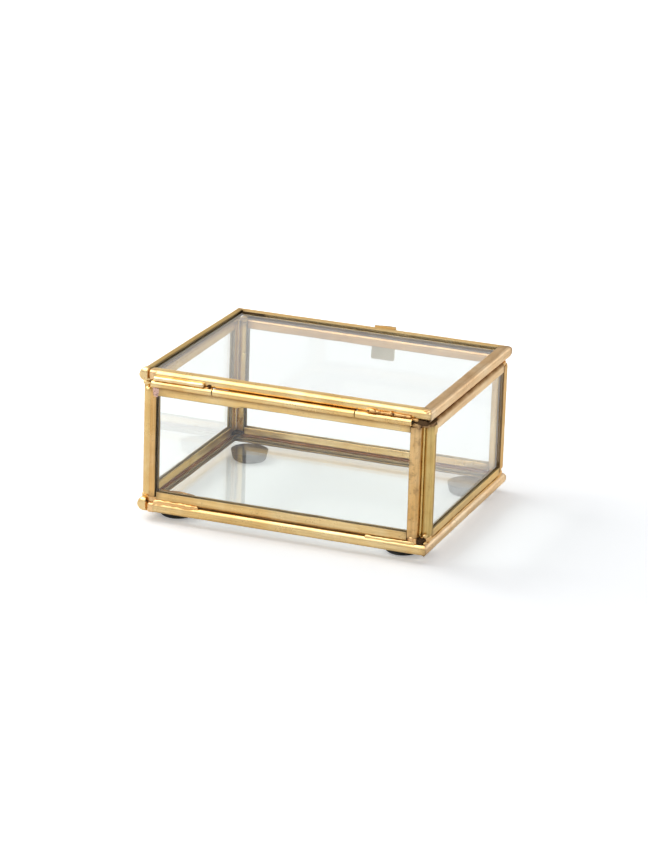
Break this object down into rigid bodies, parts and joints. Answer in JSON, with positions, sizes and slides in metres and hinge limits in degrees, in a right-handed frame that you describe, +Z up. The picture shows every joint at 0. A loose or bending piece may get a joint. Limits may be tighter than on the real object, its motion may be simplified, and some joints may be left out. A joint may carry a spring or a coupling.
{
  "type": "jewelry box",
  "caption": "Small oblong glass box edged with folded brass channel, its glass lid on a long tube hinge, with a lift tab and round rubber feet.",
  "frame": {"origin": "under the middle of the box, on the surface that the feet stand on", "axes": "+X right as seen from the hinge side, along the hinge; +Y from the hinge side to the lift tab; +Z up"},
  "size_m": [0.1, 0.0826, 0.0521],
  "materials": {
    "brass": "worn satin brass with darker tarnish along the soldered joints",
    "glass": "clear polished float glass",
    "rubber": "matte black"
  },
  "bodies": {
    "box": {"base_glass": "glass", "base_hinge_channel": "brass", "base_tab_channel": "brass", "base_left_channel": "brass", "base_right_channel": "brass", "hinge_wall_glass": "glass", "hinge_wall_bottom_channel": "brass", "hinge_wall_top_channel": "brass", "hinge_wall_left_channel": "brass", "hinge_wall_right_channel": "brass", "tab_wall_glass": "glass", "tab_wall_bottom_channel": "brass", "tab_wall_top_channel": "brass", "tab_wall_left_channel": "brass", "tab_wall_right_channel": "brass", "left_wall_glass": "glass", "left_wall_bottom_channel": "brass", "left_wall_top_channel": "brass", "left_wall_hinge_channel": "brass", "left_wall_tab_channel": "brass", "right_wall_glass": "glass", "right_wall_bottom_channel": "brass", "right_wall_top_channel": "brass", "right_wall_hinge_channel": "brass", "right_wall_tab_channel": "brass", "hinge_left_corner_wire": "brass", "hinge_right_corner_wire": "brass", "tab_left_corner_wire": "brass", "tab_right_corner_wire": "brass", "base_left_filler_rod": "brass", "base_right_filler_rod": "brass", "middle_knuckle": "brass", "hinge_pin": "brass", "hinge_left_foot": "rubber", "hinge_right_foot": "rubber", "tab_left_foot": "rubber", "tab_right_foot": "rubber"},
    "lid": {"lid_glass": "glass", "lid_hinge_channel": "brass", "lid_tab_channel": "brass", "lid_left_channel": "brass", "lid_right_channel": "brass", "left_knuckle": "brass", "right_knuckle": "brass", "lid_left_packing_rod": "brass", "lid_right_packing_rod": "brass", "lift_tab": "brass"}
  },
  "joints": [
    {"name": "lid_hinge", "type": "hinge", "parent": "box", "child": "lid", "pos_m": [0, -0.04037, 0.04719], "axis": [1, 0, 0], "range_deg": [0, 160]}
  ]
}
